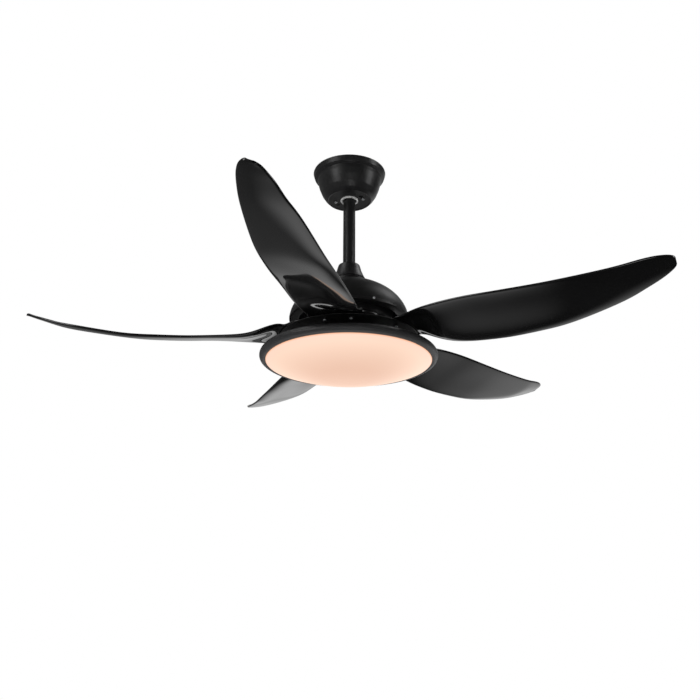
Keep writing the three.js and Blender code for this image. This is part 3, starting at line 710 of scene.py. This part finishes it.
def build_split_collar():
    """Plastic ring in the canopy's hole, with a gap to snap it over the rod."""
    profile = rounded(
        [
            (15.7, -71.0, 0.7),
            (19.0, -71.0, 1.0),
            (19.7, -69.2, 0.4),
            (19.7, -66.4, 0.2),
            (23.6, -66.4, 0.4),
            (23.6, -64.9, 0.4),
            (15.7, -64.9, 0.4),
        ],
        4,
    )
    collar = lathe("rod_collar", profile, 120)
    split = box("split", (14, 1.6, 20), (20, 0, -68), turn=288)
    piece(carved(collar, split), "nylon", "ceiling_fixing", "split_collar")


# ------------------------------------------------------------------ ball and downrod
def ball_line():
    """A ball cut flat at the top, with a bore for the rod."""
    outer = []
    for k in range(41):
        angle = math.radians(-90 + 158 * k / 40)
        r = BALL_R * math.cos(angle)
        z = BALL_Z + BALL_R * math.sin(angle)
        if r > 14.7 and z < -28.2:
            outer.append((r, z))
    low = BALL_Z - math.sqrt(BALL_R**2 - 15.4**2)
    return [(14.7, low + 0.6), (15.3, low), *outer[1:], (15.8, -28), (15.1, -28), (14.7, -28.5)]


def build_ball():
    ball = lathe("hanger_ball_body", ball_line(), 120)
    carved(ball, cross_bar(PIN_HOLE_R, 24, (90, 0, 0), BALL_Z))
    piece(bracket_place(ball), "satin", "ball", "hanger_ball")
    pin_line = rounded([(0, -18.5, 0), (2.9, -18.5, 0.7), (2.9, 18.5, 0.7), (0, 18.5, 0)], 3)
    pin = placed(lathe("cross_pin", pin_line, 40), (90, 0, 0), (0, 0, BALL_Z))
    piece(bracket_place(pin), "steel", "ball", "ball_cross_pin")


def build_downrod():
    low, high = -257, -25
    profile = rounded([(ROD_BORE, low, 0.5), (ROD_R, low, 0.6), (ROD_R, high, 0.6), (ROD_BORE, high, 0.5)], 3)
    rod = lathe("downrod_tube", profile, 96)
    ball_hole = cross_bar(PIN_HOLE_R, 20, (90, 0, BRACKET_TURN), BALL_Z)
    yoke_hole = cross_bar(PIN_HOLE_R, 20, (0, 90, 0), YOKE_PIN_Z)
    carved(rod, ball_hole, yoke_hole)
    piece(rod, "satin", "drop", "downrod")


def build_coupling_cover():
    """Bell-shaped cover with a foot bead, over the joint between rod and motor."""
    profile = rounded(
        [
            (36.4, -265.2, 0.4),
            (36.2, -262.6, 1),
            (35.2, -261.2, 0.6),
            (34.4, -260.4, 1.2),
            (31.4, -254.0, 7),
            (27.0, -243.2, 12),
            (24.3, -233.4, 6),
            (23.0, -229.6, 2.4),
            (19.4, -227.7, 3),
            (13.95, -227.5, 0.3),
            (13.95, -229.3, 0.3),
            (20.0, -230.6, 2),
            (22.6, -234.6, 5),
            (25.6, -244.4, 8),
            (30.2, -256.0, 6),
            (34.2, -262.6, 1),
            (34.8, -265.2, 0.3),
        ],
        6,
    )
    piece(lathe("coupling_bell", profile, 128), "satin", "drop", "coupling_cover")


def build_yoke():
    """Cast yoke: a neck round the rod, on a foot that sits on the dome."""
    profile = rounded(
        [
            (10.4, -265.6, 0.3),
            (28.5, -265.6, 0.8),
            (29.0, -263.0, 1.2),
            (26.0, -259.6, 2),
            (18.2, -257.8, 2),
            (17.4, -254.0, 0),
            (17.4, -231.0, 0.8),
            (13.65, -231.0, 0.4),
            (13.65, -257.3, 0.3),
            (10.4, -257.3, 0.3),
        ],
        4,
    )
    yoke = lathe("cast_yoke", profile, 96)
    piece(carved(yoke, cross_bar(PIN_HOLE_R, 25, (0, 90, 0), YOKE_PIN_Z)), "iron", "drop", "motor_yoke")


def build_yoke_pin():
    """Headed pin through yoke and rod, and the open ring that keeps it in."""
    head_line = [(0, -21.6, 0), (4.4, -21.6, 0.6), (4.4, -19.6, 0.3)]
    shank_line = [(3, -19.6, 0), (3, 21.5, 0.8), (0, 21.5, 0)]
    pin = lathe("clevis_pin", rounded(head_line + shank_line, 3), 40)
    placed(pin, (0, 90, 0), (0, 0, YOKE_PIN_Z))
    piece(pin, "steel", "drop", "yoke_pin")
    turns = [polar(4, 20 + 16 * k) for k in range(21)]
    clip = wire("pin_clip", [(19.2, y, YOKE_PIN_Z + z) for y, z in turns], 0.7)
    piece(clip, "zinc", "drop", "yoke_pin_clip")


def build_set_screw():
    set_line = rounded([(0, 13.65, 0), (2.5, 13.65, 0.4), (2.5, 20.5, 0.4), (0, 20.5, 0)], 3)
    set_screw = lathe("grub", set_line, 32)
    hex_socket = round_bar(1.5, 18, 22, 6)
    carved(set_screw, hex_socket)
    placed(set_screw, (90, 0, 0), (0, 0, YOKE_SET_SCREW_Z))
    piece(set_screw, "steel", "drop", "yoke_set_screw")


# ------------------------------------------------------------------ motor housing
def dome_z(r):
    """Height of the crown at a distance from the axis: a superellipse."""
    return DOME_RIM_Z + DOME_HEIGHT * (1 - (r / DOME_R) ** DOME_POWER) ** (1 / DOME_POWER)


def dome_line():
    """Spun shell: plain lip, a fine groove above it, the crown, and a flat boss for the yoke."""
    skin = []
    for k in range(60):
        angle = math.radians(4 + 70 * k / 59)
        r = DOME_R * math.cos(angle) ** (2 / DOME_POWER)
        if dome_z(r) >= -351.0 and r >= 40.0:
            skin.append((r, dome_z(r)))
    lip = rounded(
        [
            (DOME_R - 2.0, DOME_RIM_Z, 0.5),
            (DOME_R - 0.1, DOME_RIM_Z, 0.7),
            (DOME_R - 0.05, -352.9, 0.5),
            (DOME_R - 1.1, -352.2, 0.3),
            (skin[0][0] + 0.03, -351.4, 0.4),
        ],
        4,
    )
    boss = rounded(
        [
            (40.0, dome_z(40.0), 1.5),
            (37.4, -273.6, 1.0),
            (36.2, DOME_BOSS_TOP, 1.0),
            (10.5, DOME_BOSS_TOP, 0.4),
        ],
        5,
    )
    boss_inside = [(10.5, DOME_BOSS_TOP - DOME_WALL), (34.8, DOME_BOSS_TOP - DOME_WALL), (36.3, -275.4)]
    inside = []
    for r, z in reversed(skin):
        part = r / DOME_R
        inside.append((r - DOME_WALL * part, z - DOME_WALL * (1 - 0.75 * part**4)))
    return [*lip, *skin, *boss, *boss_inside, *inside]


def build_dome():
    shell = lathe("dome_shell", dome_line(), 220)
    holes = []
    for angle in DOME_SCREW_ANGLES:
        hole = round_bar(1.7, -6, 8, 24)
        placed(hole, (0, 90, angle), (*polar(122, angle), DOME_SCREW_Z))
        holes.append(hole)
    carved(shell, *holes)
    piece(shell, "shell", "drop", "motor_dome")
    for i, angle in enumerate(DOME_SCREW_ANGLES):
        screw = pan_screw("dome_lip_screw", 2.6, 1.4, 1.4, 8)
        placed(screw, (0, 0, 35 * i))
        placed(screw, (0, -90, 0))
        placed(screw, (0, 0, angle), (*polar(DOME_R + 0.15, angle), DOME_SCREW_Z))
        screw.name = f"dome_lip_screw_{i + 1}"
        piece(screw, "zinc", "drop", f"dome_screw_{i + 1}", sharp=30)


def build_dome_ring():
    """Closing ring inside the dome's lip."""
    profile = rounded(
        [
            (106, -357.5, 0.6),
            (122.6, -357.5, 0.8),
            (122.1, -350.0, 0.4),
            (120.0, -350.0, 0.4),
            (120.5, -355.5, 0.8),
            (106, -355.5, 0.6),
        ],
        4,
    )
    piece(lathe("dome_closing_ring", profile, 200), "satin", "drop", "dome_lower_ring")


def build_rotor_bell():
    """Upper half of the rotor: a cup over the stator."""
    bell = rounded(
        [
            (90.8, -364.4, 0.5),
            (93.4, -364.4, 0.6),
            (93.4, -318.0, 6),
            (80.0, -301.5, 6),
            (20.9, -301.5, 0.5),
            (20.9, -314.0, 0.4),
            (24.0, -314.0, 0.4),
            (24.0, -304.3, 1.0),
            (79.0, -304.3, 4),
            (90.8, -319.0, 4),
        ],
        5,
    )
    piece(lathe("rotor_cup", bell), "satin", "rotor", "rotor_bell")


def build_rotor_base():
    """Lower half of the rotor: a drum that stands on the blade plate."""
    base = rounded(
        [
            (70.5, -396.9, 0.6),
            (89.0, -396.9, 0.8),
            (89.0, -372.4, 2.2),
            (92.6, -368.4, 0.6),
            (93.4, -367.4, 0.6),
            (93.4, -364.8, 0.5),
            (20.9, -364.8, 0.4),
            (20.9, -374.0, 0.4),
            (24.5, -374.0, 0.4),
            (24.5, -367.4, 1.0),
            (86.4, -367.4, 2.0),
            (86.4, -393.2, 1.5),
            (70.5, -394.0, 0.6),
        ],
        5,
    )
    piece(lathe("rotor_drum", base), "shell", "rotor", "rotor_base")


def blade_hole_tools(angle):
    """Cutters for one blade's two screw holes, through the plate and the blade."""
    places = [(*polar(BLADE_SCREW_CIRCLE, angle + offset), 0) for offset in BLADE_SCREW_OFFSETS]
    return [round_bar(SCREW_HOLE_R, PLATE_LOW - 5, PLATE_HIGH + 15, 20, place) for place in places]


def build_blade_plate():
    """Flat disc that carries the blades."""
    rounding = 1.2
    line = rounded(
        [
            (70.5, PLATE_LOW, 0.5),
            (146.2, PLATE_LOW, rounding),
            (146.2, PLATE_HIGH, rounding),
            (70.5, PLATE_HIGH, 0.5),
        ],
        5,
    )
    disc = lathe("blade_carrier", line, 220)
    tools = []
    for angle in BLADE_ANGLES:
        tools += blade_hole_tools(angle)
    carved(disc, *tools)
    piece(disc, "shell", "rotor", "blade_plate")


# ------------------------------------------------------------------ blades
def spline_through(keys, values):
    """Natural cubic through (key, value) pairs, as a function."""
    n = len(keys)
    h = [keys[i + 1] - keys[i] for i in range(n - 1)]
    lower, diag, upper, rhs = [0.0] * n, [1.0] * n, [0.0] * n, [0.0] * n
    for i in range(1, n - 1):
        lower[i], diag[i], upper[i] = h[i - 1], 2 * (h[i - 1] + h[i]), h[i]
        rhs[i] = 6 * ((values[i + 1] - values[i]) / h[i] - (values[i] - values[i - 1]) / h[i - 1])
    for i in range(1, n):
        factor = lower[i] / diag[i - 1]
        diag[i] -= factor * upper[i - 1]
        rhs[i] -= factor * rhs[i - 1]
    second = [0.0] * n
    second[-1] = rhs[-1] / diag[-1]
    for i in range(n - 2, -1, -1):
        second[i] = (rhs[i] - upper[i] * second[i + 1]) / diag[i]

    def at(x):
        i = max(0, min(n - 2, sum(1 for key in keys[1:-1] if key <= x)))
        a, b = (keys[i + 1] - x) / h[i], (x - keys[i]) / h[i]
        bend = ((a**3 - a) * second[i] + (b**3 - b) * second[i + 1]) * h[i] ** 2 / 6
        return a * values[i] + b * values[i + 1] + bend

    return at


def blade_nose(rise_and_run, middle, reach, half_thick, start):
    """Half round of the blade's edge, as (across, up) pairs, from the face at start degrees."""
    slope = math.atan2(*rise_and_run)
    points = []
    for k in range(1, 8):
        turn = math.radians(start - 180 * k / 8)
        y = reach * math.cos(turn)
        z = half_thick * math.sin(turn)
        points.append((middle[0] + y * math.cos(slope), middle[1] + z + y * math.sin(slope)))
    return points


def blade_section(at, s):
    """One closed loop of the blade, in its own frame: along, across, up."""
    along, shift, half, height, twist, sag, lean, flat = (curve(s) for curve in at)
    half_thick = BLADE_THICK / 2 * math.sqrt(min(1, (BLADE_TIP_R - along) / BLADE_TIP_ROUNDING))
    nose = min(half_thick, half * 0.9)
    line = []
    steps = 26
    for i in range(steps + 1):
        v = -1 + 2 * i / steps
        w = v * (half - nose) / half
        dip = sag + 2 * lean * w + 3 * flat * (w * w - 0.25)
        up = LENS_RIM_Z + height - twist * w - dip * (1 - w * w)
        line.append((shift + v * (half - nose), up))
    low_rise = (line[-1][1] - line[-2][1], line[-1][0] - line[-2][0])
    high_rise = (line[1][1] - line[0][1], line[1][0] - line[0][0])
    loop = [(y, z + half_thick) for y, z in line]
    loop += blade_nose(low_rise, line[-1], nose, half_thick, 90)
    loop += [(y, z - half_thick) for y, z in reversed(line)]
    loop += blade_nose(high_rise, line[0], nose, half_thick, -90)
    return [(along, y, z) for y, z in loop]


def blade_mesh():
    """Loft of the blade through its stations, closed at root and tip."""
    keys = list(range(len(BLADE_STATIONS)))
    at = [spline_through(keys, [row[c] for row in BLADE_STATIONS]) for c in range(8)]
    between = 8
    places = [k / between for k in range(between * (len(keys) - 1) + 1)]
    loops = [blade_section(at, s) for s in places]
    count = len(loops[0])
    verts = [p for loop in loops for p in loop]
    faces = []
    for s in range(len(loops) - 1):
        for i in range(count):
            n = (i + 1) % count
            a = s * count
            faces.append((a + i, a + n, a + count + n, a + count + i))
    faces.append(tuple(range(count)))
    faces.append(tuple(reversed(range((len(loops) - 1) * count, len(loops) * count))))
    return verts, faces


def build_blades():
    verts, faces = blade_mesh()
    for i, angle in enumerate(BLADE_ANGLES):
        blade = link_mesh(f"blade_moulding_{i + 1}", verts, faces)
        carved(blade, *blade_hole_tools(0))
        placed(blade, (0, 0, angle))
        piece(blade, "blade", "rotor", f"blade_{i + 1}", sharp=50)
        for j, offset in enumerate(BLADE_SCREW_OFFSETS):
            add_screw(
                f"blade_bolt_{i + 1}_{j + 1}",
                f"blade_screw_{i + 1}_{j + 1}",
                "rotor",
                (3.6, 3, 2, 12.5),
                (*polar(BLADE_SCREW_CIRCLE, angle + offset), PLATE_LOW - 0.3),
                spin=30 * i + 50 * j,
            )


# ------------------------------------------------------------------ light
def build_light_hub():
    """Drum between the rotor and the light, fixed to the shaft."""
    profile = rounded(
        [
            (46, -431.0, 0.5),
            (62, -431.0, 1.0),
            (62, -409.0, 2),
            (58, -405.5, 2),
            (10.3, -405.5, 0.4),
            (10.3, -408.5, 0.4),
            (57, -408.5, 1.5),
            (59.6, -411.0, 1.5),
            (59.6, -428.8, 1.0),
            (46, -428.8, 0.5),
        ],
        5,
    )
    piece(lathe("light_drum", profile, 140), "satin", "drop", "light_hub")


def build_light_tray():
    """Pressed tray with three hooks for the diffuser's lugs."""
    profile = rounded(
        [
            (7, -432.5, 0.5),
            (167.1, -432.5, 0.8),
            (167.1, -442.0, 0.4),
            (168.3, -442.0, 0.4),
            (168.3, -431.3, 1.8),
            (146, -431.3, 1.0),
            (143, -431.9, 1.0),
            (134, -431.9, 1.0),
            (131, -431.3, 1.0),
            (7, -431.3, 0.6),
        ],
        5,
    )
    tray = lathe("tray_pressing", profile, 200)
    hooks = []
    for angle in LUG_ANGLES:
        hooks.append(box("web", (1.5, 22, 11.0), (151.5, 0, -438.7), 0.3, turn=angle))
        hooks.append(box("foot", (6, 22, 1.5), (154.4, 0, -443.9), 0.3, turn=angle))
    piece(joined("light_tray_pressing", [tray, *hooks]), "satin", "drop", "light_tray")


def bezel_arc(radius, degrees):
    """Points of a circle round the middle of the bezel's tube."""
    return [(BEZEL_R + x, BEZEL_Z + y) for x, y in (polar(radius, a) for a in degrees)]


def build_bezel():
    """Rolled ring with a fine return at the lens."""
    outer = bezel_arc(BEZEL_TUBE, range(-112, 123, 6))
    inner = bezel_arc(BEZEL_TUBE - BEZEL_WALL, range(118, -109, -6))
    wall = [(168.6, outer[-1][1] - 0.3), (168.6, -440.5), (170.3, -440.5), (170.3, -434.6)]
    # The bezel takes the lighter copy of the satin black, which paints light onto it.
    piece(lathe("rolled_bezel", [*outer, *wall, *inner], 256), "bezel_satin_lit", "drop", "bezel_ring", sharp=45)


def build_diffuser():
    """Shallow opal bowl with a rolled edge."""
    outer = []
    steps = 34
    for k in range(steps + 1):
        r = (LENS_R - 1.5) * k / steps
        outer.append((r, LENS_RIM_Z - LENS_DEPTH * (1 - (r / LENS_R) ** 2) - 1.2))
    edge = rounded(
        [
            (172.4, -449.6, 0.4),
            (LENS_R, -448.9, 0.8),
            (171.5, -448.5, 0.4),
            (161.5, -450.0, 0.6),
            (161.5, -440.8, 0.5),
            (159.5, -440.8, 0.5),
            (159.5, -451.4, 0.8),
        ],
        4,
    )
    inner = [(r, z + LENS_WALL) for r, z in reversed(outer) if r < 152]
    bowl = lathe("opal_bowl", [*outer, *edge, *inner], 240)
    lugs = [box("lug", (6, 12, 1.8), (157.1, 0, -441.9), 0.3, turn=angle) for angle in LUG_ANGLES]
    piece(joined("opal_diffuser", [bowl, *lugs]), "opal", "shade", "diffuser", sharp=45)


# ------------------------------------------------------------------ carried-over CAD nodes
def dress_carried_nodes():
    """Gives the kept CAD nodes their looks."""
    for name, look in CARRIED.items():
        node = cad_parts[name]
        node.data.materials.clear()
        node.data.materials.append(MATERIALS[look])


# ------------------------------------------------------------------ studio
def build_floor():
    """Plain pale floor, well below the fan. It shines a little, as the lamps leave it dim."""
    rings, spokes = 12, 64
    verts, faces = [], [tuple(range(spokes))]
    for ring in range(1, rings + 1):
        verts += [(x, y, FLOOR_Z) for x, y in circle(FLOOR_R * ring / rings, count=spokes)]
    for ring in range(rings - 1):
        for k in range(spokes):
            n = (k + 1) % spokes
            a = ring * spokes
            faces.append((a + k, a + spokes + k, a + spokes + n, a + n))
    floor = cleaned(link_mesh("studio_floor", verts, faces))
    pale = paint("pale_floor", (0.86, 0.86, 0.86), (0.82, 0.82, 0.82), (0.7, 0.85), 300.0, 0.0001)
    shader = pale.node_tree.nodes["Principled BSDF"]
    shader.inputs["Emission Color"].default_value = (1, 1, 1, 1)
    shader.inputs["Emission Strength"].default_value = 0.6
    floor.data.materials.append(pale)
    floor.visible_glossy = False


def math_node(nodes, links, kind, a, b):
    node = nodes.new("ShaderNodeMath")
    node.operation = kind
    links.new(a, node.inputs[0])
    links.new(b, node.inputs[1])
    return node.outputs["Value"]


def smooth_step(nodes, links, value, start, end, low=0.0, high=1.0):
    """A value that eases from low at start to high at end."""
    node = nodes.new("ShaderNodeMapRange")
    node.interpolation_type = "SMOOTHSTEP"
    node.inputs["From Min"].default_value = start
    node.inputs["From Max"].default_value = end
    node.inputs["To Min"].default_value = low
    node.inputs["To Max"].default_value = high
    links.new(value, node.inputs["Value"])
    return node.outputs["Result"]


def build_world():
    """White to the camera. Otherwise a dim room with a bright backdrop low behind the fan."""
    world = bpy.data.worlds.new("studio")
    bpy.context.scene.world = world
    world.use_nodes = True
    nodes, links = world.node_tree.nodes, world.node_tree.links
    nodes.clear()
    coords = nodes.new("ShaderNodeTexCoord")
    split = nodes.new("ShaderNodeSeparateXYZ")
    links.new(coords.outputs["Generated"], split.inputs["Vector"])
    glow = smooth_step(nodes, links, split.outputs["Y"], *BACKDROP["behind"])
    for part, axis in (("level", "Z"), ("across", "X"), ("above", "Z")):
        share = smooth_step(nodes, links, split.outputs[axis], *BACKDROP[part])
        glow = math_node(nodes, links, "MULTIPLY", glow, share)
    room = smooth_step(nodes, links, split.outputs["X"], *BACKDROP["room"])
    glow = math_node(nodes, links, "ADD", glow, room)
    path = nodes.new("ShaderNodeLightPath")
    mix = nodes.new("ShaderNodeMix")
    mix.data_type = "RGBA"
    links.new(path.outputs["Is Camera Ray"], mix.inputs["Factor"])
    links.new(glow, mix.inputs["A"])
    mix.inputs["B"].default_value = (1, 1, 1, 1)
    shade = nodes.new("ShaderNodeBackground")
    links.new(mix.outputs["Result"], shade.inputs["Color"])
    out = nodes.new("ShaderNodeOutputWorld")
    links.new(shade.outputs["Background"], out.inputs["Surface"])


def softbox_material(name, strength):
    """A glowing cloth that fades to nothing towards its edge."""
    material = bpy.data.materials.new(name)
    material.use_nodes = True
    nodes, links = material.node_tree.nodes, material.node_tree.links
    nodes.clear()
    coords = nodes.new("ShaderNodeTexCoord")
    length = nodes.new("ShaderNodeVectorMath")
    length.operation = "LENGTH"
    links.new(coords.outputs["Object"], length.inputs[0])
    fade = smooth_step(nodes, links, length.outputs["Value"], 0.25, 1.0, 1.0, 0.0)
    glow = nodes.new("ShaderNodeEmission")
    glow.inputs["Strength"].default_value = strength
    clear = nodes.new("ShaderNodeBsdfTransparent")
    mix = nodes.new("ShaderNodeMixShader")
    links.new(fade, mix.inputs["Fac"])
    links.new(clear.outputs["BSDF"], mix.inputs[1])
    links.new(glow.outputs["Emission"], mix.inputs[2])
    out = nodes.new("ShaderNodeOutputMaterial")
    links.new(mix.outputs["Shader"], out.inputs["Surface"])
    return material


def build_softboxes():
    """Large soft lamps that light the fan and show in its gloss, but not to the camera."""
    rim = [(x, y, 0) for x, y in circle(1, count=48)]
    for name, place, target, (width, height), strength in SOFTBOXES:
        mesh = bpy.data.meshes.new(name)
        mesh.from_pydata(rim, [], [tuple(range(len(rim)))])
        mesh.materials.append(softbox_material(name + "_cloth", strength))
        lamp = bpy.data.objects.new(name, mesh)
        bpy.context.scene.collection.objects.link(lamp)
        facing = (Vector(target) - Vector(place)).to_track_quat("-Z", "Y").to_matrix().to_4x4()
        size = Matrix.Diagonal((width / 2, height / 2, 1, 1))
        lamp.matrix_world = Matrix.Translation(place) @ facing @ size
        lamp.visible_camera = False
        lamp.visible_shadow = False


def build_camera():
    """Camera low in front of the fan, looking up."""
    camera = bpy.data.cameras.new("photo_camera")
    camera.sensor_width = 36.0
    camera.lens = CAMERA_LENS
    camera.clip_end = 60.0
    obj = bpy.data.objects.new("photo_camera", camera)
    bpy.context.scene.collection.objects.link(obj)
    level = math.cos(CAMERA_PITCH)
    forward = Vector((math.sin(CAMERA_YAW) * level, math.cos(CAMERA_YAW) * level, math.sin(CAMERA_PITCH)))
    right = forward.cross(Vector((0, 0, 1))).normalized()
    up = right.cross(forward)
    tilt = Matrix.Rotation(CAMERA_ROLL, 4, "Z")
    turn = Matrix((right, up, -forward)).transposed().to_4x4()
    obj.matrix_world = Matrix.Translation(CAMERA_PLACE) @ turn @ tilt
    bpy.context.scene.camera = obj


build_bracket()
build_ceiling_screws()
build_receiver()
build_canopy()
build_split_collar()
build_ball()
build_downrod()
build_coupling_cover()
build_yoke()
build_yoke_pin()
build_set_screw()
build_dome()
build_dome_ring()
build_rotor_bell()
build_rotor_base()
build_blade_plate()
build_blades()
build_light_hub()
build_light_tray()
build_bezel()
build_diffuser()
dress_carried_nodes()
build_floor()
build_world()
build_softboxes()
build_camera()
bpy.context.scene.view_settings.view_transform = "Standard"
